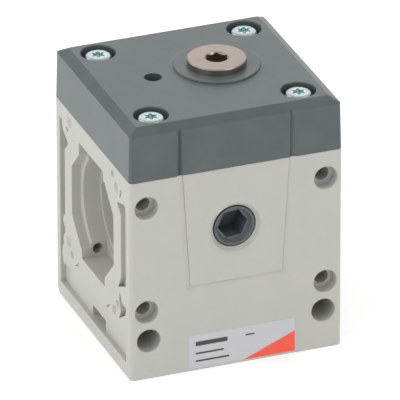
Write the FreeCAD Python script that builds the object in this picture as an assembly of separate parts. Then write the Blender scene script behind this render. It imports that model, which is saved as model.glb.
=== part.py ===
"""Modular soft-start valve for compressed air, 45 mm module, as separate pieces.

The light grey body has a port pocket on its left (inlet) and right (outlet) side, and a
gauge port in its front that a plug closes. The valve stands upright inside the body, on
the same axis as the adjusting screw in the dark grey cover. Turning the screw lifts a
needle, which meters air to the space above the piston and, through the hollow stem, to the
outlet. When the outlet is nearly full, the piston pushes the main poppet open.

Frame: millimetres, X to the right, Y from front to back, Z up, origin in the middle of
the underside. Threads are plain cylinders with 0.05 mm of clearance.
"""

import FreeCAD, Part
import math
import os

from FreeCAD import Vector

# ---- driving dimensions -------------------------------------------------------------
WIDTH = 45.0                # X, one module
DEPTH = 43.0                # Y
BODY_HEIGHT = 43.9
COVER_SIDE_HEIGHT = 9.85
COVER_BEVEL_HEIGHT = 1.3
COVER_BEVEL_INSET = 2.0
COVER_DRAFT = 0.2           # inset of the cover's sides over their height
CORNER_RADIUS = 0.9         # upright edges
HEEL_RADIUS = 3.0           # rear lower edge of the body
EDGE_BREAK = 0.15           # chamfer where body and cover meet, and round holes

FIT = 0.05                  # radial clearance of shafts, threads and plugs

VALVE_X, VALVE_Y = 4.4, 1.0         # axis of the valve and of the adjusting screw
PORT_Z = 27.0                       # height of the side ports
GAUGE_PORT_Z = 30.2

# side face: recesses round a frame, with the port opening in it
RECESS_FRONT_Y, RECESS_REAR_Y = -18.9, 18.9
RECESS_DEPTH = 1.1
REAR_RECESS_DEPTH, REAR_STEP_Z = 1.95, 20.0     # the rear recess is deeper above this height
BAND_BOTTOM_Z, BAND_TOP_Z = 3.1, 8.5        # the recess below the frame
MARK_DEPTH, DIMPLE_DEPTH = 0.25, 0.65       # moulding marks at the frame's corners
OPENING_HALF = 12.05                # half width of the opening's straight sides
OPENING_STRAIGHT = 5.4              # half length of those sides
OPENING_SHOULDER = (7.0, 10.6)      # where the slanted sides end, from the centre
OPENING_DEPTH = 1.95
PORT_RADIUS = 11.5
PORT_LEDGE_DEPTH = 5.8
PORT_FLOOR_RADIUS = 10.6
PORT_FLOOR_DEPTH = 6.8
INLET_BORE_DEPTH = 11.0             # the port floor of the inlet lies deeper
KEYWAY_DEPTH = 5.4
KEYWAY_TOP = (-6.2, 7.7, 39.6)      # front y, rear y, top z
KEYWAY_BOTTOM = (-6.8, 6.4, 14.2)   # front y, rear y, bottom z
KEY_PIN_RADIUS = 1.1                # locating hole in the rear wall of each keyway
KEY_PIN_X, KEY_PIN_INSET, KEY_PIN_LENGTH = 19.05, 1.75, 5.0
TAB_SLOT = (-4.75, 2.75, BAND_BOTTOM_Z, 5.4)    # y0, y1, z0, z1
TAB_SLOT_DEPTH = 5.4

# front face
PANEL_TOP_HALF, PANEL_BOTTOM_HALF, PANEL_BOTTOM_Z = 11.25, 9.7, 19.0
PANEL_GROOVE_WIDTH = 1.2
PANEL_GROOVE_DEPTH, PANEL_STEP = 0.32, 0.14
SCREW_HOLE_X, SCREW_HOLE_ZS = 19.0, (37.95, 14.9)
SCREW_HOLE_RADIUS = 1.5
COUNTERBORE_RADIUS, COUNTERBORE_DEPTH = 2.45, 2.4
WALL_HOLE_X, WALL_HOLE_Z, WALL_HOLE_RADIUS = 18.6, 8.45, 2.5
LABEL_X0, LABEL_X1, LABEL_Z0, LABEL_Z1 = -10.1, 12.5, 0.5, 7.9
LABEL_THICKNESS = 0.1

# gauge port and its plug
GAUGE_BORE_RADIUS, GAUGE_BORE_DEPTH = 4.6, 9.0
GAUGE_DISH = (6.05, 5.0, 0.4)       # wide shallow cone: outer radius, inner radius, depth
GAUGE_MOUTH = (5.5, 4.75, 1.1)      # steep cone inside it
PLUG_RECESS, PLUG_LENGTH = 1.2, 6.6
PLUG_NECK_RADIUS, PLUG_NECK_LENGTH = 4.25, 0.6
PLUG_DISH = (3.85, 3.25, 1.1)
PLUG_HEX_FLATS, PLUG_HEX_DEPTH, PLUG_HEX_ANGLE = 5.5, 5.0, -6.0
PLUG_RING_Y, PLUG_RING_HALF, PLUG_RING_DEPTH = -17.55, 0.65, 1.1
PLUG_RING_SECTION = 0.52

# cover and its top
COVER_SCREW_X, COVER_SCREW_Y = 15.6, 15.0
COVER_BORE_RADIUS, COVER_BORE_DEPTH = 3.5, 2.5
COVER_SCREW_LENGTH = 14.0
HEAD_RADIUS, HEAD_HEIGHT, HEAD_ROUND = 2.83, 2.1, 0.85
SOCKET_RADIUS, LOBE_RADIUS, SOCKET_DEPTH = 0.95, 0.42, 1.2
THREAD_RADIUS = 1.5
BOSS_RADIUS, BOSS_HEIGHT, BOSS_SKIRT = 8.8, 0.55, 0.8
VENT_X, VENT_Y, VENT_RADIUS, VENT_NECK_RADIUS = -9.3, 0.6, 1.8, 1.2
FEED_X, FEED_Y, FEED_RADIUS, FEED_Z = -9.0, -7.5, 1.1, 23.0
FEED_COVER_Z = 48.4
CORE_TOP_Z = 52.0

# adjusting screw and needle
KNOB_RADIUS, KNOB_THICKNESS, KNOB_CHAMFER, KNOB_GAP = 6.0, 1.32, 0.18, 0.03
KEY_FLATS, KEY_DEPTH, KEY_CHAMFER_RADIUS = 4.05, 2.75, 2.38
KEY_CORNER_ANGLE = 9.2              # direction of one corner of the hexagon, from X
SHANK_RADIUS, SHANK_BOTTOM_Z = 4.0, 49.9
CLIP_SHOULDER_Z = 51.3
CLIP_THICKNESS = 0.7
NEEDLE_CAVITY_RADIUS = 5.2
NEEDLE_THREAD_RADIUS = 2.0
NEEDLE_SEAT_BOTTOM_Z, NEEDLE_SEAT_TOP_Z, NEEDLE_SEAT_FLOOR = 44.4, 49.6, 2.0
NEEDLE_FLANGE_FLATS, NEEDLE_FLANGE_HEIGHT = 6.5, 1.0
NEEDLE_ORIFICE_RADIUS = 1.0
NEEDLE_TOP_Z = 51.5

# valve train: heights at rest, main poppet closed, stroke 2.5 mm downwards
CHAMBER_FLOOR_Z = 7.0
CHAMBER_RADIUS = 7.0
SEAT_BORE_RADIUS, SEAT_SHOULDER_Z = 8.5, 24.0
CYLINDER_RADIUS, GUIDE_SHOULDER_Z = 9.5, 34.5
SEAT_THICKNESS, SEAT_ORIFICE_RADIUS, SEAT_LIP_HEIGHT, SEAT_LIP_WIDTH = 3.5, 4.5, 1.0, 0.8
GUIDE_THICKNESS = 2.5
CIRCLIP_GROOVE = 0.6
PISTON_BOTTOM_Z, PISTON_THICKNESS = 40.5, 3.5
PILOT_CAVITY_DEPTH = 0.7
STEM_RADIUS, STEM_END_RADIUS, STEM_BORE_RADIUS = 2.5, 2.0, 0.9
STEM_CROSS_HOLE_Z = 30.5
POPPET_RADIUS, POPPET_BOTTOM_Z, POPPET_THICKNESS = 6.2, 17.5, 5.0
POPPET_SEAL_INNER, POPPET_SEAL_OUTER, POPPET_SEAL_DEPTH = 3.4, 6.0, 1.2
SPRING_PILOT_RADIUS, SPRING_PILOT_HEIGHT = 3.6, 1.8
SPRING_RADIUS, SPRING_WIRE_RADIUS, SPRING_TURNS = 4.6, 0.45, 5.5
INLET_RADIUS, INLET_Z = 3.4, 20.4
OUTLET_RADIUS, OUTLET_Z, OUTLET_SPREAD = 2.8, 31.4, 3.0
GAUGE_LINK_RADIUS = 1.8
RING_SECTION = 0.44                 # radius of the static O-rings' section
COVER_RING_RADIUS, FEED_RING_RADIUS = 10.85, 2.1
RING_GROOVE_DEPTH, RING_GROOVE_HALF = 0.9, 0.6

# ---- derived ------------------------------------------------------------------------
FRONT_Y, REAR_Y = -DEPTH / 2, DEPTH / 2
SIDE_X = WIDTH / 2
COVER_SHOULDER_Z = BODY_HEIGHT + COVER_SIDE_HEIGHT
TOP_Z = COVER_SHOULDER_Z + COVER_BEVEL_HEIGHT
BOSS_TOP_Z = TOP_Z + BOSS_HEIGHT
KNOB_BOTTOM_Z = BOSS_TOP_Z + KNOB_GAP
KNOB_TOP_Z = KNOB_BOTTOM_Z + KNOB_THICKNESS
OVER = 1.0                          # how far a cutter starts outside the solid
UP, RIGHT, BACK = Vector(0, 0, 1), Vector(1, 0, 0), Vector(0, 1, 0)


# ---- helpers ------------------------------------------------------------------------
def box(x0, x1, y0, y1, z0, z1):
    return Part.makeBox(x1 - x0, y1 - y0, z1 - z0, Vector(x0, y0, z0))


def cylinder(radius, start, end):
    """A cylinder between two points."""
    return Part.makeCylinder(radius, (end - start).Length, start, end - start)


def cone(radius_start, radius_end, start, end):
    return Part.makeCone(radius_start, radius_end, (end - start).Length, start, end - start)


def upright(x, y, radius, z0, z1):
    return cylinder(radius, Vector(x, y, z0), Vector(x, y, z1))


def on_axis(radius, z0, z1):
    """An upright cylinder on the valve axis."""
    return upright(VALVE_X, VALVE_Y, radius, z0, z1)


def on_axis_cone(radius_low, radius_high, z0, z1):
    return cone(radius_low, radius_high, Vector(VALVE_X, VALVE_Y, z0), Vector(VALVE_X, VALVE_Y, z1))


def tube(outer, inner, z0, z1):
    """A ring of rectangular section on the valve axis."""
    return on_axis(outer, z0, z1).cut(on_axis(inner, z0 - OVER, z1 + OVER))


def o_ring(x, y, z, radius, section):
    return Part.makeTorus(radius, section, Vector(x, y, z), UP)


def c_clip(outer, inner, z0, z1, gap_width):
    """A retaining ring with a gap at its front."""
    gap = box(VALVE_X - gap_width / 2, VALVE_X + gap_width / 2, VALVE_Y - outer - OVER, VALVE_Y,
              z0 - OVER, z1 + OVER)
    return tube(outer, inner, z0, z1).cut(gap)


def hexagon(centre, normal, flats, length, corner_angle):
    """A hexagonal prism from centre along normal; the corner angle is in degrees, measured
    from X in the plane across the prism."""
    side = UP.cross(normal) if abs(normal.z) < 0.5 else RIGHT
    other = normal.cross(side)
    radius = flats / 2 / math.cos(math.pi / 6)
    angles = [math.radians(corner_angle + 60 * i) for i in range(6)]
    corners = [centre + side * (radius * math.cos(a)) + other * (radius * math.sin(a)) for a in angles]
    return prism(corners, normal * length)


def prism(corners, sweep):
    """A polygon of points swept along a vector."""
    return Part.Face(Part.makePolygon(corners + corners[:1])).extrude(sweep)


def frustum(lower, upper):
    """A solid between two polygons with parallel sides, with flat faces only."""
    count = len(lower)
    sides = [[lower[i], lower[(i + 1) % count], upper[(i + 1) % count], upper[i]] for i in range(count)]
    faces = [Part.Face(Part.makePolygon(corners + corners[:1])) for corners in [lower[::-1], upper] + sides]
    shell = Part.Shell(faces)
    shell.sewShape()
    solid = Part.Solid(shell)
    return solid if solid.Volume > 0 else Part.Solid(shell.reversed())


def rectangle(half_x, half_y, z):
    return [Vector(sx * half_x, sy * half_y, z) for sx, sy in ((-1, -1), (1, -1), (1, 1), (-1, 1))]


def edges_where(shape, test):
    """Edges whose vertices all pass a test."""
    return [edge for edge in shape.Edges if all(test(vertex.Point) for vertex in edge.Vertexes)]


def upright_edges(shape):
    return [e for e in shape.Edges if abs(e.Vertexes[0].Z - e.Vertexes[-1].Z) > OVER]


def mirrored(shape):
    """The same shape on the other side of the YZ plane."""
    return shape.mirror(Vector(0, 0, 0), RIGHT)


def fused(shapes):
    return shapes[0].multiFuse(shapes[1:]) if len(shapes) > 1 else shapes[0]


# ---- body: side faces ---------------------------------------------------------------
def side_prism(outline, depth):
    """Cutter for the left side: an outline of (y, z) points, from outside the face to a
    depth below it."""
    corners = [Vector(-SIDE_X - OVER, y, z) for y, z in outline]
    return prism(corners, RIGHT * (OVER + depth))


def side_cylinder(y, z, radius, depth):
    return cylinder(radius, Vector(-SIDE_X - OVER, y, z), Vector(-SIDE_X + depth, y, z))


def opening():
    """Many-sided mouth, the keyways above and below it, and the round port behind."""
    shoulder_y, shoulder_z = OPENING_SHOULDER
    quarter = [(OPENING_HALF, OPENING_STRAIGHT), (shoulder_y, shoulder_z)]
    outline = quarter + [(-y, z) for y, z in reversed(quarter)]
    outline += [(-y, -z) for y, z in quarter] + [(y, -z) for y, z in reversed(quarter)]
    mouth = side_prism([(y, PORT_Z + z) for y, z in outline], OPENING_DEPTH)
    top_front, top_rear, top_z = KEYWAY_TOP
    low_front, low_rear, low_z = KEYWAY_BOTTOM
    inner_x = -SIDE_X + KEYWAY_DEPTH
    keyways = [box(-SIDE_X - OVER, inner_x, top_front, top_rear, PORT_Z, top_z),
               box(-SIDE_X - OVER, inner_x, low_front, low_rear, low_z, PORT_Z)]
    pins = [cylinder(KEY_PIN_RADIUS, Vector(-KEY_PIN_X, rear - OVER, z),
                     Vector(-KEY_PIN_X, rear + KEY_PIN_LENGTH, z))
            for rear, z in ((top_rear, top_z - KEY_PIN_INSET), (low_rear, low_z + KEY_PIN_INSET))]
    round_port = [side_cylinder(0, PORT_Z, PORT_RADIUS, PORT_LEDGE_DEPTH),
                  side_cylinder(0, PORT_Z, PORT_FLOOR_RADIUS, PORT_FLOOR_DEPTH),
                  cone(PORT_RADIUS + 2 * EDGE_BREAK, PORT_RADIUS,
                       Vector(-SIDE_X + OPENING_DEPTH, 0, PORT_Z),
                       Vector(-SIDE_X + OPENING_DEPTH + 2 * EDGE_BREAK, 0, PORT_Z))]
    return [mouth] + keyways + pins + round_port


def rear_recess():
    """Narrow recess behind the frame, with round bosses along the frame's edge. Its upper
    part is deeper."""
    top = [(RECESS_REAR_Y, 40.3), (17.2, 40.3), (17.2, 38.6), (13.9, 36.4), (16.0, 34.2)]
    low, high = [side_prism([(16.0, z), (RECESS_REAR_Y, z)] + top, depth)
                 for z, depth in ((BAND_BOTTOM_Z, RECESS_DEPTH), (REAR_STEP_Z, REAR_RECESS_DEPTH))]
    bosses = [side_cylinder(y, z, r, REAR_RECESS_DEPTH + OVER) for y, z, r in
              ((15.2, 39.9, 2.3), (15.6, 18.1, 1.5), (15.4, 13.8, 1.7), (14.6, 10.4, 3.3))]
    return low.fuse(high).cut(fused(bosses))


def front_recesses():
    """Two narrow recesses in front of the frame, apart where the frame meets the rim."""
    upper = side_prism([(RECESS_FRONT_Y, 20.0), (-14.5, 18.0), (-16.2, 20.8), (-16.2, 34.5), (-14.1, 36.7),
                        (RECESS_FRONT_Y, 38.0)], RECESS_DEPTH)
    lower = side_prism([(RECESS_FRONT_Y, 13.7), (-14.9, 11.1), (-16.0, 13.2), (-15.0, 15.6), (-15.3, 17.4),
                        (-17.0, 15.1), (RECESS_FRONT_Y, 15.4)], RECESS_DEPTH)
    return [upper, lower]


def band():
    """The recess below the frame, along the foot of the side."""
    return side_prism([(RECESS_FRONT_Y, BAND_BOTTOM_Z), (16.5, BAND_BOTTOM_Z), (16.5, BAND_TOP_Z),
                       (RECESS_FRONT_Y, BAND_TOP_Z)], RECESS_DEPTH - EDGE_BREAK)


def moulding_marks():
    """Small three-cornered marks at the corners of the frame."""
    marks = [[(-16.0, 40.2), (-15.4, 38.0), (-17.8, 40.4)], [(15.4, 39.6), (14.2, 38.8), (13.5, 40.1)],
             [(10.2, 10.9), (8.8, 11.2), (8.2, 12.4)], [(-7.4, 10.2), (-9.2, 10.8), (-10.2, 12.1)]]
    return [side_prism(mark, MARK_DEPTH) for mark in marks]


def dimples():
    """Round moulding marks near the corners of the frame, as (y, z, radius): shallow caps."""
    places = ((13.1, 41.5, 1.15), (-11.6, 41.7, 0.8), (-13.6, 39.6, 1.1), (13.9, 14.3, 1.2),
              (12.0, 12.3, 0.85), (-14.2, 14.0, 0.8), (-12.3, 11.8, 1.1))
    caps = []
    for y, z, radius in places:
        ball = (radius ** 2 + DIMPLE_DEPTH ** 2) / (2 * DIMPLE_DEPTH)
        caps.append(Part.makeSphere(ball, Vector(-SIDE_X + DIMPLE_DEPTH - ball, y, z)))
    return caps


def side_cutters():
    y0, y1, z0, z1 = TAB_SLOT
    tab_slot = box(-SIDE_X - OVER, -SIDE_X + TAB_SLOT_DEPTH, y0, y1, z0, z1)
    left = [rear_recess(), band(), tab_slot] + front_recesses() + opening() + moulding_marks() + dimples()
    inlet_bore = side_cylinder(0, PORT_Z, PORT_FLOOR_RADIUS, INLET_BORE_DEPTH)
    return left + [mirrored(cutter) for cutter in left] + [inlet_bore]


# ---- body: front and rear faces -------------------------------------------------------
def panel_outline(y, grow, above):
    """Corners of the tapered panel, grown sideways and downwards, up to above the body."""
    slope = (PANEL_TOP_HALF - PANEL_BOTTOM_HALF) / (BODY_HEIGHT - PANEL_BOTTOM_Z)
    bottom_z, top_z = PANEL_BOTTOM_Z - 0.6 * grow, BODY_HEIGHT + above
    bottom_half, top_half = [PANEL_BOTTOM_HALF + grow + slope * (z - PANEL_BOTTOM_Z) for z in (bottom_z, top_z)]
    return [Vector(-bottom_half, y, bottom_z), Vector(bottom_half, y, bottom_z),
            Vector(top_half, y, top_z), Vector(-top_half, y, top_z)]


def panel_cutter():
    """A groove with a gentle outer flank and a steep inner wall, round a slightly sunk
    panel. The groove runs out at the top of the body."""
    groove = frustum(panel_outline(FRONT_Y, PANEL_GROOVE_WIDTH, OVER),
                     panel_outline(FRONT_Y + PANEL_GROOVE_DEPTH, 0.05, OVER))
    plateau = prism(panel_outline(FRONT_Y + PANEL_STEP, 0, 2 * OVER), BACK * OVER)
    return groove.cut(plateau)


def along_y(x, z, radius, y0, y1):
    return cylinder(radius, Vector(x, y0, z), Vector(x, y1, z))


def front_holes():
    """Counterbored holes for the screws of the port inserts, through holes for wall
    mounting, with broken edges."""
    cutters = []
    for x in (-SCREW_HOLE_X, SCREW_HOLE_X):
        for z, reach in zip(SCREW_HOLE_ZS, (KEYWAY_TOP[0], KEYWAY_BOTTOM[0])):
            cutters += [along_y(x, z, COUNTERBORE_RADIUS, FRONT_Y - OVER, FRONT_Y + COUNTERBORE_DEPTH),
                        along_y(x, z, SCREW_HOLE_RADIUS, FRONT_Y, reach),
                        hole_chamfer(x, z, COUNTERBORE_RADIUS, FRONT_Y, BACK)]
    for x in (-WALL_HOLE_X, WALL_HOLE_X):
        cutters += [along_y(x, WALL_HOLE_Z, WALL_HOLE_RADIUS, FRONT_Y - OVER, REAR_Y + OVER),
                    hole_chamfer(x, WALL_HOLE_Z, WALL_HOLE_RADIUS, FRONT_Y, BACK),
                    hole_chamfer(x, WALL_HOLE_Z, WALL_HOLE_RADIUS, REAR_Y, BACK * -1)]
    return cutters


def hole_chamfer(x, z, radius, face_y, inwards):
    face = Vector(x, face_y, z)
    return cone(radius + EDGE_BREAK, radius, face, face + inwards * EDGE_BREAK)


def gauge_port():
    """Threaded bore with a dished conical mouth, and the hole from it to the outlet chamber."""
    face = Vector(0, FRONT_Y + PANEL_STEP, GAUGE_PORT_Z)
    bottom_y = FRONT_Y + GAUGE_BORE_DEPTH
    mouths = [cone(outer, inner, face, face + BACK * depth)
              for outer, inner, depth in (GAUGE_DISH, GAUGE_MOUTH)]
    bore = along_y(0, GAUGE_PORT_Z, GAUGE_BORE_RADIUS, FRONT_Y - OVER, bottom_y)
    link = along_y(0, GAUGE_PORT_Z, GAUGE_LINK_RADIUS, bottom_y - OVER, VALVE_Y - SEAT_BORE_RADIUS / 2)
    return mouths + [bore, link]


# ---- body: inside ---------------------------------------------------------------------
def valve_bores():
    chamber = on_axis(CHAMBER_RADIUS, CHAMBER_FLOOR_Z, SEAT_SHOULDER_Z + OVER)
    spring_pilot = on_axis(SPRING_PILOT_RADIUS, CHAMBER_FLOOR_Z - OVER, CHAMBER_FLOOR_Z + SPRING_PILOT_HEIGHT)
    seat_bore = on_axis(SEAT_BORE_RADIUS, SEAT_SHOULDER_Z, GUIDE_SHOULDER_Z + OVER)
    cylinder_bore = on_axis(CYLINDER_RADIUS, GUIDE_SHOULDER_Z, BODY_HEIGHT + OVER)
    grooves = [on_axis(bore + CIRCLIP_GROOVE, z, z + CLIP_THICKNESS + 0.1) for bore, z in
               ((SEAT_BORE_RADIUS, SEAT_SHOULDER_Z + SEAT_THICKNESS),
                (CYLINDER_RADIUS, GUIDE_SHOULDER_Z + GUIDE_THICKNESS))]
    return [chamber.cut(spring_pilot), seat_bore, cylinder_bore] + grooves


def along_x(y, z, radius, x0, x1):
    return cylinder(radius, Vector(x0, y, z), Vector(x1, y, z))


def air_passages():
    """Round inlet, oblong outlet, the needle's feed channel and the vent under the piston."""
    port_floor = SIDE_X - PORT_FLOOR_DEPTH
    inlet = along_x(VALVE_Y, INLET_Z, INLET_RADIUS, -port_floor - OVER, VALVE_X - SPRING_RADIUS)
    ends = (VALVE_X + SPRING_RADIUS, port_floor + OVER)
    outlet = [along_x(VALVE_Y + side * OUTLET_SPREAD, OUTLET_Z, OUTLET_RADIUS, *ends) for side in (-1, 1)]
    outlet.append(box(*ends, VALVE_Y - OUTLET_SPREAD, VALVE_Y + OUTLET_SPREAD,
                      OUTLET_Z - OUTLET_RADIUS, OUTLET_Z + OUTLET_RADIUS))
    feed_up = upright(FEED_X, FEED_Y, FEED_RADIUS, FEED_Z, BODY_HEIGHT + OVER)
    feed_in = along_y(FEED_X, FEED_Z, FEED_RADIUS, FEED_Y, VALVE_Y)
    under_piston = GUIDE_SHOULDER_Z + GUIDE_THICKNESS + VENT_NECK_RADIUS + EDGE_BREAK
    vent_up = upright(VENT_X, VENT_Y, VENT_NECK_RADIUS, under_piston, BODY_HEIGHT + OVER)
    vent_in = cylinder(VENT_NECK_RADIUS, Vector(VENT_X, VENT_Y, under_piston),
                       Vector(VALVE_X - STEM_RADIUS, VENT_Y, under_piston))
    return [inlet, fused(outlet), feed_up, feed_in, vent_up, vent_in]


def ring_groove(x, y, radius):
    z0 = BODY_HEIGHT - RING_GROOVE_DEPTH
    outer = upright(x, y, radius + RING_GROOVE_HALF, z0, BODY_HEIGHT + OVER)
    return outer.cut(upright(x, y, radius - RING_GROOVE_HALF, z0 - OVER, BODY_HEIGHT + 2 * OVER))


def cover_screw_places():
    return [(sx * COVER_SCREW_X, sy * COVER_SCREW_Y) for sx in (-1, 1) for sy in (-1, 1)]


def screw_seat_z():
    return TOP_Z - COVER_BORE_DEPTH


def heel_cutter():
    """What the rounded lower rear edge leaves out."""
    corner = box(-SIDE_X - OVER, SIDE_X + OVER, REAR_Y - HEEL_RADIUS, REAR_Y + OVER, -OVER, HEEL_RADIUS)
    return corner.cut(cylinder(HEEL_RADIUS, Vector(-SIDE_X - 2 * OVER, REAR_Y - HEEL_RADIUS, HEEL_RADIUS),
                               Vector(SIDE_X + 2 * OVER, REAR_Y - HEEL_RADIUS, HEEL_RADIUS)))


def body():
    block = box(-SIDE_X, SIDE_X, FRONT_Y, REAR_Y, 0, BODY_HEIGHT)
    block = block.makeFillet(CORNER_RADIUS, upright_edges(block))
    top = edges_where(block, lambda p: p.z > BODY_HEIGHT - EDGE_BREAK)
    block = block.makeChamfer(EDGE_BREAK, top)
    foot = edges_where(block, lambda p: p.z < EDGE_BREAK)
    block = block.makeChamfer(EDGE_BREAK, foot).cut(heel_cutter())
    label_recess = box(LABEL_X0, LABEL_X1, FRONT_Y - OVER, FRONT_Y + LABEL_THICKNESS, LABEL_Z0, LABEL_Z1)
    tip_z = screw_seat_z() - COVER_SCREW_LENGTH
    threads = [upright(x, y, THREAD_RADIUS, tip_z - OVER / 2, BODY_HEIGHT + OVER)
               for x, y in cover_screw_places()]
    panel = panel_cutter()
    rear_panel = panel.mirror(Vector(0, 0, 0), BACK)
    cutters = side_cutters() + [panel, rear_panel, label_recess] + front_holes() + gauge_port()
    cutters += valve_bores() + air_passages() + threads
    cutters += [ring_groove(VALVE_X, VALVE_Y, COVER_RING_RADIUS),
                ring_groove(FEED_X, FEED_Y, FEED_RING_RADIUS)]
    for cutter in cutters:
        block = block.cut(cutter)
    return block


# ---- cover ----------------------------------------------------------------------------
def rounded_frustum(half_x, half_y, inset_per_mm):
    """Four sloping sides with rounded corners, from the body's top to the cover's top."""
    inset = inset_per_mm * (TOP_Z - BODY_HEIGHT)
    solid = frustum(rectangle(half_x, half_y, BODY_HEIGHT),
                    rectangle(half_x - inset, half_y - inset, TOP_Z))
    return solid.makeFillet(CORNER_RADIUS, upright_edges(solid))


def cover_shell():
    """Drafted sides, cut off by the steeper bevel round the top."""
    draft_per_mm = COVER_DRAFT / COVER_SIDE_HEIGHT
    bevel_per_mm = COVER_BEVEL_INSET / COVER_BEVEL_HEIGHT
    widen = bevel_per_mm * COVER_SIDE_HEIGHT - COVER_DRAFT
    sides = rounded_frustum(SIDE_X, DEPTH / 2, draft_per_mm)
    bevel = rounded_frustum(SIDE_X + widen, DEPTH / 2 + widen, bevel_per_mm)
    return sides.common(bevel)


def cover_groove(side):
    """Upright V groove in the front or rear of the cover, in line with the panel below."""
    inner, deepest, outer, depth = PANEL_TOP_HALF, PANEL_TOP_HALF + 0.5, PANEL_TOP_HALF + 1.5, 0.6
    corners = [Vector(side * x, FRONT_Y + y, BODY_HEIGHT - OVER) for x, y in
               ((inner, 0), (deepest, depth), (outer, 0), (outer, -OVER), (inner, -OVER))]
    return prism(corners, UP * (COVER_SIDE_HEIGHT + COVER_BEVEL_HEIGHT + 2 * OVER))


def needle_housing():
    """Bores on the valve axis, from the pilot space up to the top of the boss."""
    pilot = on_axis(CYLINDER_RADIUS, BODY_HEIGHT - OVER, BODY_HEIGHT + PILOT_CAVITY_DEPTH)
    core = tube(CYLINDER_RADIUS, NEEDLE_CAVITY_RADIUS + 2, BODY_HEIGHT, CORE_TOP_Z)
    reach = Vector(VALVE_X - FEED_X, VALVE_Y - FEED_Y, 0)
    across = Vector(-reach.y, reach.x, 0).normalize() * (2 * FEED_RADIUS)
    start = Vector(FEED_X, FEED_Y, FEED_COVER_Z - 2 * FEED_RADIUS)
    rib = prism([start - across, start - across + reach, start + across + reach, start + across],
                UP * (CORE_TOP_Z - start.z))
    cavity = on_axis(NEEDLE_CAVITY_RADIUS, BODY_HEIGHT, CLIP_SHOULDER_Z)
    shank_bore = on_axis(SHANK_RADIUS + FIT, CLIP_SHOULDER_Z - OVER, BOSS_TOP_Z + OVER)
    feed_in = cylinder(FEED_RADIUS, Vector(FEED_X, FEED_Y, FEED_COVER_Z),
                       Vector(VALVE_X, VALVE_Y, FEED_COVER_Z))
    feed_up = upright(FEED_X, FEED_Y, FEED_RADIUS, BODY_HEIGHT - OVER, FEED_COVER_Z)
    return [pilot, core.cut(rib), cavity, shank_bore, feed_in, feed_up]


def cover_cores():
    """Hollows in the underside that keep the cover's walls even."""
    return [box(-19.6, -13.6, -10, 10, BODY_HEIGHT - OVER, CORE_TOP_Z),
            box(-10, 10, -18.8, -12.6, BODY_HEIGHT - OVER, CORE_TOP_Z),
            box(-10, 10, 13.2, 18.8, BODY_HEIGHT - OVER, CORE_TOP_Z)]


def cover():
    shell = cover_shell()
    skirt = on_axis_cone(BOSS_RADIUS + BOSS_SKIRT, BOSS_RADIUS, TOP_Z, TOP_Z + EDGE_BREAK)
    boss = on_axis(BOSS_RADIUS, TOP_Z - EDGE_BREAK, BOSS_TOP_Z - EDGE_BREAK)
    boss_edge = on_axis_cone(BOSS_RADIUS, BOSS_RADIUS - EDGE_BREAK, BOSS_TOP_Z - EDGE_BREAK, BOSS_TOP_Z)
    shell = shell.multiFuse([skirt, boss, boss_edge])
    cutters = needle_housing() + cover_cores()
    grooves = [cover_groove(-1), cover_groove(1)]
    cutters += grooves + [groove.mirror(Vector(0, 0, 0), BACK) for groove in grooves]
    cutters += [upright(VENT_X, VENT_Y, VENT_NECK_RADIUS, BODY_HEIGHT - OVER, TOP_Z),
                upright(VENT_X, VENT_Y, VENT_RADIUS, TOP_Z - 4, TOP_Z + OVER)]
    seat_z = screw_seat_z()
    for x, y in cover_screw_places():
        mouth = cone(COVER_BORE_RADIUS, COVER_BORE_RADIUS + EDGE_BREAK,
                     Vector(x, y, TOP_Z - EDGE_BREAK), Vector(x, y, TOP_Z))
        cutters += [upright(x, y, THREAD_RADIUS + 4 * FIT, BODY_HEIGHT - OVER, TOP_Z),
                    upright(x, y, COVER_BORE_RADIUS, seat_z, TOP_Z + OVER), mouth]
    for cutter in cutters:
        shell = shell.cut(cutter)
    return shell


def star_socket(x, y, z):
    """Six-lobed drive socket."""
    lobes = [upright(x + SOCKET_RADIUS * math.cos(a), y + SOCKET_RADIUS * math.sin(a), LOBE_RADIUS,
                     z - SOCKET_DEPTH, z + OVER)
             for a in (math.radians(60 * i + 15) for i in range(6))]
    return fused([upright(x, y, SOCKET_RADIUS, z - SOCKET_DEPTH, z + OVER)] + lobes)


def cover_screw(x, y):
    """Pan-head screw; the thread ends in a short taper."""
    seat_z = screw_seat_z()
    tip_z = seat_z - COVER_SCREW_LENGTH
    head = upright(x, y, HEAD_RADIUS, seat_z, seat_z + HEAD_HEIGHT)
    crown = edges_where(head, lambda p: p.z > seat_z + HEAD_HEIGHT / 2)
    head = head.makeFillet(HEAD_ROUND, [e for e in crown if e.Length > HEAD_RADIUS])
    shank = upright(x, y, THREAD_RADIUS - FIT, tip_z + 1, seat_z)
    tip = cone(0.9, THREAD_RADIUS - FIT, Vector(x, y, tip_z), Vector(x, y, tip_z + 1))
    return fused([head, shank, tip]).cut(star_socket(x, y, seat_z + HEAD_HEIGHT))


def cover_screws():
    return Part.makeCompound([cover_screw(x, y) for x, y in cover_screw_places()])


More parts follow.
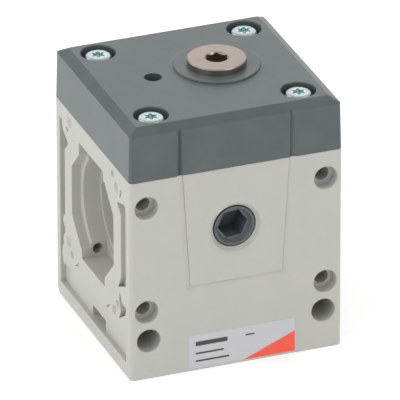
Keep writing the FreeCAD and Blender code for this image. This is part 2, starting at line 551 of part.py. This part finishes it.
# ---- adjusting screw and needle -------------------------------------------------------
def adjusting_screw():
    knob = on_axis(KNOB_RADIUS, KNOB_BOTTOM_Z, KNOB_TOP_Z - KNOB_CHAMFER)
    rim = on_axis_cone(KNOB_RADIUS, KNOB_RADIUS - KNOB_CHAMFER, KNOB_TOP_Z - KNOB_CHAMFER, KNOB_TOP_Z)
    shank = on_axis(SHANK_RADIUS, SHANK_BOTTOM_Z, KNOB_BOTTOM_Z)
    screw = fused([knob, rim, shank])
    key_floor = KNOB_TOP_Z - KEY_DEPTH
    socket = hexagon(Vector(VALVE_X, VALVE_Y, key_floor), UP, KEY_FLATS, KEY_DEPTH + OVER, KEY_CORNER_ANGLE)
    mouth = on_axis_cone(KEY_FLATS / 2, KEY_CHAMFER_RADIUS,
                         KNOB_TOP_Z - (KEY_CHAMFER_RADIUS - KEY_FLATS / 2), KNOB_TOP_Z)
    thread = on_axis(NEEDLE_THREAD_RADIUS, SHANK_BOTTOM_Z - OVER, key_floor - 4 * FIT)
    ring_groove = tube(SHANK_RADIUS + OVER, 2.85, 52.4, 53.9)
    clip_groove = tube(SHANK_RADIUS + OVER, 3.2, *clip_heights(FIT))
    for cutter in (socket, mouth, thread, ring_groove, clip_groove):
        screw = screw.cut(cutter)
    return screw


def clip_heights(slack):
    """Underside and top of the adjusting screw's clip, or of its groove with some slack."""
    top = CLIP_SHOULDER_Z - 2 * FIT
    return top - CLIP_THICKNESS - slack, top + slack


def adjusting_screw_oring():
    return o_ring(VALVE_X, VALVE_Y, 53.15, 3.42, 0.55)


def adjusting_screw_clip():
    return c_clip(NEEDLE_CAVITY_RADIUS - 0.3, 3.25, *clip_heights(0), 4.0)


def needle():
    flange_z = NEEDLE_SEAT_BOTTOM_Z + NEEDLE_SEAT_FLOOR + 2 * FIT
    flange = hexagon(Vector(VALVE_X, VALVE_Y, flange_z), UP, NEEDLE_FLANGE_FLATS,
                     NEEDLE_FLANGE_HEIGHT, KEY_CORNER_ANGLE)
    stud = on_axis(NEEDLE_THREAD_RADIUS - FIT, flange_z, NEEDLE_TOP_Z)
    neck = on_axis(NEEDLE_ORIFICE_RADIUS - FIT, flange_z - 2 * FIT, flange_z)
    point = on_axis_cone(0.35, NEEDLE_ORIFICE_RADIUS - FIT, NEEDLE_SEAT_BOTTOM_Z + 4 * FIT, flange_z - 2 * FIT)
    return fused([flange, stud, neck, point])


def needle_seat():
    """Insert with the metering orifice; its hexagonal bore keeps the needle from turning."""
    insert = on_axis(NEEDLE_CAVITY_RADIUS - FIT / 2, NEEDLE_SEAT_BOTTOM_Z, NEEDLE_SEAT_TOP_Z)
    floor_z = NEEDLE_SEAT_BOTTOM_Z + NEEDLE_SEAT_FLOOR
    guide = hexagon(Vector(VALVE_X, VALVE_Y, floor_z), UP, NEEDLE_FLANGE_FLATS + 2 * FIT,
                    NEEDLE_SEAT_TOP_Z, KEY_CORNER_ANGLE)
    orifice = on_axis(NEEDLE_ORIFICE_RADIUS, NEEDLE_SEAT_BOTTOM_Z - OVER, floor_z + OVER)
    feed = cylinder(FEED_RADIUS, Vector(FEED_X, FEED_Y, FEED_COVER_Z), Vector(VALVE_X, VALVE_Y, FEED_COVER_Z))
    for cutter in (guide, orifice, feed):
        insert = insert.cut(cutter)
    return insert


# ---- valve train ----------------------------------------------------------------------
def edge_groove(radius, depth, z, half_height):
    """Cutter for an O-ring groove in the edge of a disc on the valve axis."""
    return tube(radius + OVER, radius - depth, z - half_height, z + half_height)


def piston():
    top_z = PISTON_BOTTOM_Z + PISTON_THICKNESS
    disc = on_axis(CYLINDER_RADIUS - FIT, PISTON_BOTTOM_Z, top_z)
    recess = tube(7.4, 4.6, top_z - 1.0, top_z + OVER)
    clip_recess = on_axis(3.7, top_z - 1.0, top_z + OVER)
    bore = on_axis(STEM_END_RADIUS + FIT / 2, PISTON_BOTTOM_Z - OVER, top_z)
    for cutter in (recess, clip_recess, bore, edge_groove(CYLINDER_RADIUS, 1.35, 42.1, 0.7)):
        disc = disc.cut(cutter)
    return disc


def piston_seal():
    return o_ring(VALVE_X, VALVE_Y, 42.1, CYLINDER_RADIUS - 0.7, 0.62)


def stem():
    """Hollow stem; its narrow ends carry the poppet and the piston."""
    top_z = PISTON_BOTTOM_Z + PISTON_THICKNESS
    poppet_top = POPPET_BOTTOM_Z + POPPET_THICKNESS
    rod = on_axis(STEM_RADIUS, poppet_top, PISTON_BOTTOM_Z)
    ends = [on_axis(STEM_END_RADIUS, POPPET_BOTTOM_Z + 1, poppet_top),
            on_axis(STEM_END_RADIUS, PISTON_BOTTOM_Z, top_z)]
    shaft = fused([rod] + ends)
    bore = on_axis(STEM_BORE_RADIUS, STEM_CROSS_HOLE_Z, top_z + OVER)
    cross_hole = cylinder(STEM_BORE_RADIUS, Vector(VALVE_X - STEM_RADIUS - OVER, VALVE_Y, STEM_CROSS_HOLE_Z),
                          Vector(VALVE_X + STEM_RADIUS + OVER, VALVE_Y, STEM_CROSS_HOLE_Z))
    groove = tube(STEM_RADIUS, 1.6, top_z - 0.9, top_z - 0.3)
    for cutter in (bore, cross_hole, groove):
        shaft = shaft.cut(cutter)
    return shaft


def stem_clip():
    top_z = PISTON_BOTTOM_Z + PISTON_THICKNESS
    return c_clip(3.4, 1.65, top_z - 0.85, top_z - 0.35, 1.6)


def guide_plate():
    z0 = GUIDE_SHOULDER_Z
    disc = on_axis(CYLINDER_RADIUS - FIT / 2, z0, z0 + GUIDE_THICKNESS)
    bore = on_axis(STEM_RADIUS + FIT, z0 - OVER, z0 + GUIDE_THICKNESS + OVER)
    seal_groove = on_axis(STEM_RADIUS + 1.3, z0 + 0.6, z0 + 1.9)
    for cutter in (bore, seal_groove, edge_groove(CYLINDER_RADIUS, 1.2, z0 + 1.25, 0.65)):
        disc = disc.cut(cutter)
    return disc


def guide_plate_oring():
    return o_ring(VALVE_X, VALVE_Y, GUIDE_SHOULDER_Z + 1.25, CYLINDER_RADIUS - 0.62, 0.55)


def stem_seal():
    return o_ring(VALVE_X, VALVE_Y, GUIDE_SHOULDER_Z + 1.25, STEM_RADIUS + 0.67, 0.57)


def guide_plate_circlip():
    z0 = GUIDE_SHOULDER_Z + GUIDE_THICKNESS
    return c_clip(CYLINDER_RADIUS + 0.45, CYLINDER_RADIUS - 1.2, z0, z0 + CLIP_THICKNESS, 5.0)


def valve_seat():
    z0 = SEAT_SHOULDER_Z
    ring = tube(SEAT_BORE_RADIUS - FIT / 2, SEAT_ORIFICE_RADIUS, z0, z0 + SEAT_THICKNESS)
    lip = tube(SEAT_ORIFICE_RADIUS + SEAT_LIP_WIDTH, SEAT_ORIFICE_RADIUS, z0 - SEAT_LIP_HEIGHT, z0 + OVER / 2)
    return ring.fuse(lip).cut(edge_groove(SEAT_BORE_RADIUS, 1.2, z0 + 1.75, 0.65))


def valve_seat_oring():
    return o_ring(VALVE_X, VALVE_Y, SEAT_SHOULDER_Z + 1.75, SEAT_BORE_RADIUS - 0.62, 0.55)


def valve_seat_circlip():
    z0 = SEAT_SHOULDER_Z + SEAT_THICKNESS
    return c_clip(SEAT_BORE_RADIUS + 0.45, SEAT_BORE_RADIUS - 1.2, z0, z0 + CLIP_THICKNESS, 5.0)


def main_poppet():
    top_z = POPPET_BOTTOM_Z + POPPET_THICKNESS
    disc = on_axis(POPPET_RADIUS, top_z - 2.4, top_z)
    hub = on_axis(SPRING_RADIUS + 1, POPPET_BOTTOM_Z, top_z - 2.4)
    pilot = on_axis(SPRING_PILOT_RADIUS, POPPET_BOTTOM_Z - SPRING_PILOT_HEIGHT, POPPET_BOTTOM_Z)
    poppet = fused([disc, hub, pilot])
    seal_groove = tube(POPPET_SEAL_OUTER, POPPET_SEAL_INNER, top_z - POPPET_SEAL_DEPTH, top_z + OVER)
    bore = on_axis(STEM_END_RADIUS + FIT / 2, POPPET_BOTTOM_Z + 1 - FIT, top_z + OVER)
    return poppet.cut(seal_groove).cut(bore)


def poppet_seal():
    """Rubber ring let into the poppet; it stands 0.45 mm proud and meets the seat's lip."""
    groove_z = POPPET_BOTTOM_Z + POPPET_THICKNESS - POPPET_SEAL_DEPTH
    proud_z = SEAT_SHOULDER_Z - SEAT_LIP_HEIGHT - FIT
    return tube(POPPET_SEAL_OUTER, POPPET_SEAL_INNER, groove_z, proud_z)


def return_spring():
    """Round-wire compression spring under the poppet."""
    z0 = CHAMBER_FLOOR_Z + SPRING_WIRE_RADIUS + FIT
    height = POPPET_BOTTOM_Z - CHAMBER_FLOOR_Z - 2 * (SPRING_WIRE_RADIUS + FIT)
    path = Part.makeHelix(height / SPRING_TURNS, height, SPRING_RADIUS)
    section = Part.Wire(Part.makeCircle(SPRING_WIRE_RADIUS, Vector(SPRING_RADIUS, 0, 0), BACK))
    coil = Part.Wire(path.Edges).makePipeShell([section], True, True)
    coil.translate(Vector(VALVE_X, VALVE_Y, z0))
    return coil


# ---- seals between cover and body, plug and label -------------------------------------
def cover_oring():
    return o_ring(VALVE_X, VALVE_Y, BODY_HEIGHT - RING_GROOVE_DEPTH / 2, COVER_RING_RADIUS, RING_SECTION)


def feed_channel_oring():
    return o_ring(FEED_X, FEED_Y, BODY_HEIGHT - RING_GROOVE_DEPTH / 2, FEED_RING_RADIUS, RING_SECTION)


def gauge_port_plug():
    """Threaded plug with a thinner neck in front, a dished hexagon socket and a groove for
    its O-ring."""
    face = Vector(0, FRONT_Y + PLUG_RECESS, GAUGE_PORT_Z)
    radius = GAUGE_BORE_RADIUS - FIT
    dish_outer, dish_inner, dish_depth = PLUG_DISH
    neck = cylinder(PLUG_NECK_RADIUS, face, face + BACK * (2 * PLUG_NECK_LENGTH))
    barrel = cylinder(radius, face + BACK * PLUG_NECK_LENGTH, face + BACK * PLUG_LENGTH)
    dish = cone(dish_outer, dish_inner, face, face + BACK * dish_depth)
    socket = hexagon(face, BACK, PLUG_HEX_FLATS, dish_depth + PLUG_HEX_DEPTH, PLUG_HEX_ANGLE)
    groove_start, groove_end = PLUG_RING_Y - PLUG_RING_HALF, PLUG_RING_Y + PLUG_RING_HALF
    core = along_y(0, GAUGE_PORT_Z, radius - PLUG_RING_DEPTH, groove_start - OVER, groove_end + OVER)
    groove = along_y(0, GAUGE_PORT_Z, radius + OVER, groove_start, groove_end).cut(core)
    plug = barrel.fuse(neck)
    for cutter in (dish, socket, groove):
        plug = plug.cut(cutter)
    return plug


def gauge_plug_oring():
    radius = GAUGE_BORE_RADIUS - PLUG_RING_SECTION - 2 * FIT
    return Part.makeTorus(radius, PLUG_RING_SECTION, Vector(0, PLUG_RING_Y, GAUGE_PORT_Z), BACK)


def rating_label():
    return box(LABEL_X0, LABEL_X1, FRONT_Y, FRONT_Y + LABEL_THICKNESS, LABEL_Z0, LABEL_Z1)


# ---- output ---------------------------------------------------------------------------
NODES = (body, cover, cover_screws, cover_oring, feed_channel_oring, adjusting_screw,
         adjusting_screw_oring, adjusting_screw_clip, needle, needle_seat, piston, piston_seal,
         stem, stem_clip, stem_seal, guide_plate, guide_plate_oring, guide_plate_circlip,
         valve_seat, valve_seat_oring, valve_seat_circlip, main_poppet, poppet_seal,
         return_spring, gauge_port_plug, gauge_plug_oring, rating_label)

os.makedirs("parts", exist_ok=True)
for node in NODES:
    shape = node()
    if not shape.isValid():
        print("not valid:", node.__name__)
    solids = len(shape.Solids)
    print(f"{node.__name__:24s} solids {solids}  volume {shape.Volume:9.1f} mm3")
    shape.exportStep(f"parts/{node.__name__}.step")
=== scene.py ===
"""Looks of the soft-start valve: finishes, label, return spring, stage, lights and camera.

Metres, in the frame of the CAD model: X to the right, Y to the back and Z up, with the
underside at zero.
"""

import math

import bpy
from mathutils import Matrix, Vector
from mathutils.geometry import delaunay_2d_cdt


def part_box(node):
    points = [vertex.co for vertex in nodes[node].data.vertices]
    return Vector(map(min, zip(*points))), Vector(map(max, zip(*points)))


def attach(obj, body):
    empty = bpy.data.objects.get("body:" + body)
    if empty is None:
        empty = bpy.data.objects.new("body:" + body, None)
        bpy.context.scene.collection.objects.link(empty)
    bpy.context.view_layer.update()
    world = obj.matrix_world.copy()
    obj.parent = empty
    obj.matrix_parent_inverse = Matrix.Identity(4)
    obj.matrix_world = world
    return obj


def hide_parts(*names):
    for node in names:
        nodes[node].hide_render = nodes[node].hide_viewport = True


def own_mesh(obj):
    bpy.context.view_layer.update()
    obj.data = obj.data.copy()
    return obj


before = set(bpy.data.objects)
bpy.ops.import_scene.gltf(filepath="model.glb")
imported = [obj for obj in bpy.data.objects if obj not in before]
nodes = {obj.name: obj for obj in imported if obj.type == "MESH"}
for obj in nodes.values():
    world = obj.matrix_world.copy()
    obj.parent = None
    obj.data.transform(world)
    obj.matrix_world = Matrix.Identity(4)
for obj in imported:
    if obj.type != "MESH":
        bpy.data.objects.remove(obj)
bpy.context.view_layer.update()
MM = 0.001


# ---- helpers ------------------------------------------------------------------------
def srgb(r, g, b):
    """Linear colour of three 0..255 display values."""
    def linear(v):
        v /= 255
        return v / 12.92 if v <= 0.04045 else ((v + 0.055) / 1.055) ** 2.4
    return (linear(r), linear(g), linear(b), 1.0)


def blend(base, tint, factor):
    """Colour between two others."""
    return tuple(b + (t - b) * factor for b, t in zip(base, tint))


def add(tree, kind, **settings):
    """New shader node. A setting is an input's value where there is one of that name."""
    node = tree.nodes.new(kind)
    for key, value in settings.items():
        if key in node.inputs:
            node.inputs[key].default_value = value
        else:
            setattr(node, key, value)
    return node


def new_mesh(name, vertices, polygons, materials):
    mesh = bpy.data.meshes.new(name)
    mesh.from_pydata(vertices, [], polygons)
    for material in materials:
        mesh.materials.append(material)
    return mesh


def new_object(name, data):
    """New object of a mesh, lamp or camera, linked into the scene."""
    made = bpy.data.objects.new(name, data)
    bpy.context.scene.collection.objects.link(made)
    return made


# ---- materials ----------------------------------------------------------------------
BLACK, WHITE = (0, 0, 0, 1), (1, 1, 1, 1)
CLOUDS_PER_METRE = 140.0            # scale of the faint clouds in tint and gloss
CLOUD_DARK, CLOUD_LIGHT = 0.3, 0.7  # noise levels of the darkest and the lightest tint
GLOSS_SPREAD = 0.02                 # the clouds change the roughness this much either way
BEVEL_SAMPLES = 6
MIX_FACTOR, MIX_A, MIX_B, MIX_RESULT = 0, 6, 7, 2   # colour sockets of a Mix node


def finish_material(name, colour, metallic, roughness, grain_mm, grain_depth, mottle=0.03,
                    round_mm=0.0, **shader):
    """Principled finish: cloudy tint, varied gloss, fine grain as bump, and softened edges.

    Lengths are in millimetres. Anything more is a value of the shader's input of that name.
    """
    material = bpy.data.materials.new(name)
    material.use_nodes = True
    material.diffuse_color = colour
    tree = material.node_tree
    surface = tree.nodes["Principled BSDF"]
    surface.inputs["Metallic"].default_value = metallic
    for key, value in shader.items():
        surface.inputs[key.replace("_", " ")].default_value = value
    place = add(tree, "ShaderNodeTexCoord")

    clouds = add(tree, "ShaderNodeTexNoise", Scale=CLOUDS_PER_METRE, Detail=3.0, Roughness=0.55)
    tree.links.new(place.outputs["Object"], clouds.inputs["Vector"])
    tint = add(tree, "ShaderNodeValToRGB")
    dark, light = tint.color_ramp.elements
    dark.position, dark.color = CLOUD_DARK, blend(colour, BLACK, mottle)
    light.position, light.color = CLOUD_LIGHT, blend(colour, WHITE, mottle * 0.5)
    tree.links.new(clouds.outputs["Fac"], tint.inputs["Fac"])
    tree.links.new(tint.outputs["Color"], surface.inputs["Base Color"])
    gloss = add(tree, "ShaderNodeMapRange")
    gloss.inputs["To Min"].default_value = roughness - GLOSS_SPREAD
    gloss.inputs["To Max"].default_value = roughness + GLOSS_SPREAD
    tree.links.new(clouds.outputs["Fac"], gloss.inputs["Value"])
    tree.links.new(gloss.outputs["Result"], surface.inputs["Roughness"])

    grain = add(tree, "ShaderNodeTexNoise", Scale=1.0 / (grain_mm * MM), Detail=2.0)
    tree.links.new(place.outputs["Object"], grain.inputs["Vector"])
    bump = add(tree, "ShaderNodeBump", Strength=1.0, Distance=grain_depth * MM)
    tree.links.new(grain.outputs["Fac"], bump.inputs["Height"])
    if round_mm:
        edge = add(tree, "ShaderNodeBevel", Radius=round_mm * MM, samples=BEVEL_SAMPLES)
        tree.links.new(edge.outputs["Normal"], bump.inputs["Normal"])
    tree.links.new(bump.outputs["Normal"], surface.inputs["Normal"])
    return material


def plastic(name, colour, roughness=0.5, grain_mm=0.16, grain_depth=0.006, round_mm=0.16,
            **more):
    return finish_material(name, colour, 0.0, roughness, grain_mm, grain_depth,
                           round_mm=round_mm, **more)


def metal(name, colour, roughness=0.25, grain_mm=0.1, grain_depth=0.001, round_mm=0.08,
          **more):
    return finish_material(name, colour, 1.0, roughness, grain_mm, grain_depth,
                           round_mm=round_mm, **more)


SCREW_X, SCREW_Y = 15.6 * MM, 15.0 * MM             # axes of the cover screws, either side
SOCKET_TINT_RADIUS = 1.39 * MM                      # round the lobes of the drive sockets
TINT_FADE_OUT, TINT_FADE_IN = 0.02 * MM, 0.04 * MM  # width of its edge, to either side


def tint_sockets_with_painted_light(material, colour):
    """Bluer plating and painted light inside the drive sockets of the four upright cover screws:
    their colour is lighter than the zinc, which lifts the shade in the sockets.
    """
    tree = material.node_tree
    surface = tree.nodes["Principled BSDF"]
    place = add(tree, "ShaderNodeTexCoord")
    folded = add(tree, "ShaderNodeVectorMath", operation="ABSOLUTE")
    tree.links.new(place.outputs["Object"], folded.inputs[0])
    offset = add(tree, "ShaderNodeVectorMath", operation="SUBTRACT")
    offset.inputs[1].default_value = (SCREW_X, SCREW_Y, 0)
    tree.links.new(folded.outputs["Vector"], offset.inputs[0])
    level = add(tree, "ShaderNodeVectorMath", operation="MULTIPLY")
    level.inputs[1].default_value = (1, 1, 0)
    tree.links.new(offset.outputs["Vector"], level.inputs[0])
    distance = add(tree, "ShaderNodeVectorMath", operation="LENGTH")
    tree.links.new(level.outputs["Vector"], distance.inputs[0])
    inside = add(tree, "ShaderNodeMapRange")
    inside.inputs["From Min"].default_value = SOCKET_TINT_RADIUS + TINT_FADE_OUT
    inside.inputs["From Max"].default_value = SOCKET_TINT_RADIUS - TINT_FADE_IN
    tree.links.new(distance.outputs["Value"], inside.inputs["Value"])
    # painted light: the lighter socket colour stands in for light inside the sockets
    mix = add(tree, "ShaderNodeMix", data_type="RGBA")
    plain = surface.inputs["Base Color"].links[0].from_socket
    tree.links.new(inside.outputs["Result"], mix.inputs[MIX_FACTOR])
    tree.links.new(plain, mix.inputs[MIX_A])
    mix.inputs[MIX_B].default_value = colour
    tree.links.new(mix.outputs[MIX_RESULT], surface.inputs["Base Color"])


body_grey = plastic("body grey", srgb(184, 184, 178), 0.5, mottle=0.02, round_mm=0.1,
                    Subsurface_Weight=0.3, Subsurface_Radius=(1.0, 0.8, 0.6),
                    Subsurface_Scale=0.6 * MM)
cover_grey = plastic("cover slate", srgb(75, 85, 87), 0.34, grain_depth=0.008, round_mm=0.12)
plug_grey = plastic("plug slate", srgb(84, 90, 94), 0.42, grain_depth=0.003, round_mm=0.08)
rubber = plastic("black rubber", srgb(30, 30, 31), 0.6, grain_mm=0.08, round_mm=0.0)
acetal = plastic("white acetal", srgb(222, 220, 212), 0.38, grain_depth=0.003, round_mm=0.1)
zinc = metal("zinc plated steel", srgb(176, 188, 190), 0.27, grain_mm=0.25,
             grain_depth=0.012, mottle=0.16)
# painted light: the socket colour is lighter than the zinc as well as bluer, lifting the shade
# inside the drive sockets
tint_sockets_with_painted_light(zinc, srgb(212, 228, 228))
nickel = metal("nickel plated brass", srgb(153, 141, 132), 0.32, mottle=0.05)
brass = metal("brass", srgb(200, 168, 98), 0.24, mottle=0.05)
spring_steel = metal("spring steel", srgb(150, 150, 152), 0.3, round_mm=0.0)
stainless = metal("stainless steel", srgb(196, 196, 196), 0.22)
aluminium = metal("aluminium", srgb(205, 206, 208), 0.3, mottle=0.05)
film = plastic("label film", srgb(190, 190, 195), 0.35, grain_depth=0.0006, round_mm=0.0,
               mottle=0.01)
ink = plastic("label print", srgb(58, 57, 56), 0.4, grain_depth=0.0006, round_mm=0.0,
              mottle=0.02)
accent = plastic("label corner", srgb(238, 84, 62), 0.4, grain_depth=0.0006, round_mm=0.0,
                 mottle=0.01)

FINISHES = {
    body_grey: ("body",),
    cover_grey: ("cover",),
    plug_grey: ("gauge_port_plug",),
    zinc: ("cover_screws",),
    nickel: ("adjusting_screw",),
    brass: ("needle", "needle_seat", "valve_seat", "main_poppet"),
    acetal: ("piston",),
    stainless: ("stem",),
    aluminium: ("guide_plate",),
    spring_steel: ("return_spring", "stem_clip", "adjusting_screw_clip",
                   "guide_plate_circlip", "valve_seat_circlip"),
    rubber: ("cover_oring", "feed_channel_oring", "adjusting_screw_oring", "piston_seal",
             "stem_seal", "guide_plate_oring", "valve_seat_oring", "poppet_seal",
             "gauge_plug_oring"),
}

for material, names in FINISHES.items():
    for name in names:
        nodes[name].data.materials.clear()
        nodes[name].data.materials.append(material)


# ---- printed label: its outlines are in millimetres ---------------------------------
FILM, INK, ACCENT = 0, 1, 2         # material slots of the label
BARS = ((1.4, 8.2, 4.9, 5.9),       # left, right, bottom and top of each bar, measured
        (1.4, 7.4, 3.05, 3.45),     # from the lower left corner of the label
        (1.4, 8.6, 1.35, 1.75),
        (12.0, 14.0, 5.35, 5.7))
BAR_ROUND, BAR_ROUND_STEPS = 0.15, 5
CORNER_START, CORNER_HEIGHT, CORNER_MARGIN = 11.6, 4.6, 0.02
TRIANGLES_INSIDE, MERGE_DISTANCE = 1, 1e-5          # kind of triangulation, and its limit


def bar_outline(x0, x1, z0, z1):
    """Rectangle with rounded corners."""
    left, right = x0 + BAR_ROUND, x1 - BAR_ROUND
    bottom, top = z0 + BAR_ROUND, z1 - BAR_ROUND
    points = []
    for cx, cz, start in ((right, top, 0), (left, top, 90), (left, bottom, 180),
                          (right, bottom, 270)):
        for i in range(BAR_ROUND_STEPS + 1):
            angle = math.radians(start + 90 * i / BAR_ROUND_STEPS)
            points.append((cx + BAR_ROUND * math.cos(angle), cz + BAR_ROUND * math.sin(angle)))
    return points


def label_shapes(x0, x1, z0, z1):
    """Slot and outline of the film, its coloured corner and its bars."""
    shapes = [(FILM, [(x0, z0), (x1, z0), (x1, z1), (x0, z1)])]
    edge, foot = x1 - CORNER_MARGIN, z0 + CORNER_MARGIN
    shapes.append((ACCENT, [(x0 + CORNER_START, foot), (edge, foot),
                            (edge, z0 + CORNER_HEIGHT)]))
    for left, right, bottom, top in BARS:
        shapes.append((INK, bar_outline(x0 + left, x0 + right, z0 + bottom, z0 + top)))
    return shapes


def label():
    """Blank film with plain bars for print and a plain coloured corner, in one flat piece."""
    low, high = ([c / MM for c in corner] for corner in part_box("rating_label"))
    shapes = label_shapes(low[0], high[0], low[2], high[2])
    points, faces = [], []
    for _, outline in shapes:
        faces.append(list(range(len(points), len(points) + len(outline))))
        points += [Vector(p) for p in outline]
    flat, _, triangles, _, _, origins = delaunay_2d_cdt(points, [], faces, TRIANGLES_INSIDE,
                                                        MERGE_DISTANCE)
    front, back = low[1] * MM, high[1] * MM
    vertices = [(p.x * MM, y, p.y * MM) for y in (front, back) for p in flat]
    edges = {pair for t in triangles for pair in zip(t, t[1:] + t[:1])}
    rim = [(a, b) for t in triangles for a, b in zip(t, t[1:] + t[:1]) if (b, a) not in edges]
    count = len(flat)
    polygons = [tuple(t) for t in triangles]
    polygons += [tuple(i + count for i in reversed(t)) for t in triangles]
    polygons += [(b, a, a + count, b + count) for a, b in rim]
    slots = [max(shapes[i][0] for i in origin) for origin in origins]
    slots += [FILM] * (len(triangles) + len(rim))
    mesh = new_mesh("label", vertices, polygons, (film, ink, accent))
    mesh.polygons.foreach_set("material_index", slots)
    mesh.update()
    piece = new_object("label", mesh)
    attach(piece, "housing")
    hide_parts("rating_label")


label()


# ---- return spring ------------------------------------------------------------------
SPRING_WIRE = 0.45 * MM             # radius of the wire
SPRING_TURNS, SPRING_CLOSED_TURNS = 6.5, 1.0        # closed turns at each end
TURN_STEPS, WIRE_SIDES = 48, 12


def spring_rise(turn, length):
    """Height of the wire's centre line after some turns: closed at both ends, open between."""
    closed = 2 * SPRING_WIRE * SPRING_CLOSED_TURNS
    pitch = (length - 2 * closed) / (SPRING_TURNS - 2 * SPRING_CLOSED_TURNS)
    if turn < SPRING_CLOSED_TURNS:
        return 2 * SPRING_WIRE * turn
    if turn > SPRING_TURNS - SPRING_CLOSED_TURNS:
        return length - 2 * SPRING_WIRE * (SPRING_TURNS - turn)
    return closed + pitch * (turn - SPRING_CLOSED_TURNS)


def coil_spring():
    """Compression spring with closed ends, made at one length; the real spring shortens when the
    poppet opens.
    """
    low, high = [Vector(corner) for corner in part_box("return_spring")]
    centre, radius = (low + high) / 2, (high.x - low.x) / 2 - SPRING_WIRE
    length = high.z - low.z - 2 * SPRING_WIRE
    rings = int(SPRING_TURNS * TURN_STEPS) + 1
    vertices = []
    for i in range(rings):
        turn = i / TURN_STEPS
        angle = 2 * math.pi * turn
        outwards = Vector((math.cos(angle), math.sin(angle), 0))
        place = Vector((centre.x, centre.y, low.z + SPRING_WIRE + spring_rise(turn, length)))
        for j in range(WIRE_SIDES):
            around = 2 * math.pi * j / WIRE_SIDES
            vertices.append(place + outwards * (radius + SPRING_WIRE * math.cos(around))
                            + Vector((0, 0, SPRING_WIRE * math.sin(around))))
    sides = []
    for start in range(0, (rings - 1) * WIRE_SIDES, WIRE_SIDES):
        for j in range(WIRE_SIDES):
            a, b = start + j, start + (j + 1) % WIRE_SIDES
            sides.append((a, a + WIRE_SIDES, b + WIRE_SIDES, b))
    last_ring = range((rings - 1) * WIRE_SIDES, rings * WIRE_SIDES)
    ends = [tuple(range(WIRE_SIDES)), tuple(reversed(last_ring))]
    mesh = new_mesh("coil", vertices, sides + ends, (spring_steel,))
    mesh.polygons.foreach_set("use_smooth", [True] * len(sides) + [False] * len(ends))
    mesh.update()
    piece = new_object("coil_spring", mesh)
    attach(piece, "housing")
    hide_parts("return_spring")
    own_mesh(piece)


coil_spring()


# ---- stage --------------------------------------------------------------------------
FLOOR_HALF = 1.6
SKY_LOW, SKY_HIGH = 0.6, 0.75       # brightness of the surroundings at foot and top
SKY_FROM, SKY_TO = -0.1, 0.9        # heights between which it changes, of a unit sphere
LIGHTS = (                          # name, place, aim, width, height, watts
    ("key", (-0.55, -0.2, 0.4), (0, 0, 0.03), 0.5, 0.5, 1.25),
    ("back", (0.27, 0.72, 0.42), (0, 0, 0.04), 0.9, 0.6, 1.3),
    ("left back", (-0.42, 0.42, 0.45), (0, 0, 0.05), 0.3, 0.5, 0.5),
    ("overhead", (0.25, -0.24, 0.5), (0, 0, 0.05), 0.16, 0.16, 0.35),
    ("front fill", (0.25, -0.7, 0.3), (0, 0, 0.03), 0.4, 0.4, 0.4),
)


def floor():
    """White floor at the foot of the model, faintly glowing so that it stays white."""
    half = FLOOR_HALF
    outline = [(-half, -half, 0), (half, -half, 0), (half, half, 0), (-half, half, 0)]
    white = finish_material("floor white", (0.93, 0.93, 0.93, 1), metallic=0.0, roughness=0.75,
                            grain_mm=2.0, grain_depth=0.0002, mottle=0.0,
                            Emission_Color=WHITE, Emission_Strength=0.25)
    plane = new_object("floor", new_mesh("floor", outline, [(0, 1, 2, 3)], (white,)))


def area_light(name, place, aim, width, height, watts):
    data = bpy.data.lights.new(name, "AREA")
    data.shape, data.size, data.size_y = "RECTANGLE", width, height
    data.energy = watts
    lamp = new_object(name, data)
    lamp.location = place
    lamp.rotation_mode = "QUATERNION"
    lamp.rotation_quaternion = (Vector(aim) - Vector(place)).to_track_quat("-Z", "Y")


def sky():
    """Soft white surroundings, brighter overhead."""
    world = bpy.data.worlds.new("studio")
    bpy.context.scene.world = world
    world.use_nodes = True
    tree = world.node_tree
    place = add(tree, "ShaderNodeTexCoord")
    split = add(tree, "ShaderNodeSeparateXYZ")
    tree.links.new(place.outputs["Generated"], split.inputs["Vector"])
    level = add(tree, "ShaderNodeMapRange")
    level.inputs["From Min"].default_value = SKY_FROM
    level.inputs["From Max"].default_value = SKY_TO
    level.inputs["To Min"].default_value = SKY_LOW
    level.inputs["To Max"].default_value = SKY_HIGH
    tree.links.new(split.outputs["Z"], level.inputs["Value"])
    background = tree.nodes["Background"]
    tree.links.new(level.outputs["Result"], background.inputs["Strength"])
    background.inputs["Color"].default_value = WHITE


CAMERA_AZIMUTH = math.radians(-20.836)              # from the front, towards the left
CAMERA_ELEVATION = math.radians(26.777)
CAMERA_ROLL = math.radians(-0.05)
CAMERA_DISTANCE = 1829.4 * MM
AIM_RIGHT, AIM_UP = 0.409 * MM, 23.516 * MM         # from the origin, in the picture
SENSOR_WIDTH, LENS = 36, 816.912                    # millimetres, as the camera takes them


def camera():
    """A very long lens, from the front, left and above."""
    level = math.cos(CAMERA_ELEVATION)
    back = Vector((math.sin(CAMERA_AZIMUTH) * level, -math.cos(CAMERA_AZIMUTH) * level,
                   math.sin(CAMERA_ELEVATION)))
    right = (-back).cross(Vector((0, 0, 1))).normalized()
    up = right.cross(-back)
    aim = right * AIM_RIGHT + up * AIM_UP
    data = bpy.data.cameras.new("camera")
    data.sensor_width, data.lens = SENSOR_WIDTH, LENS
    data.clip_start, data.clip_end = 0.05, 20
    view = new_object("camera", data)
    turn = Matrix((right, up, back)).transposed().to_4x4() @ Matrix.Rotation(CAMERA_ROLL, 4, "Z")
    view.matrix_world = Matrix.Translation(aim + back * CAMERA_DISTANCE) @ turn
    bpy.context.scene.camera = view


floor()
sky()
for light in LIGHTS:
    area_light(*light)
camera()

scene = bpy.context.scene
scene.view_settings.view_transform = "Standard"
scene.view_settings.look = "None"
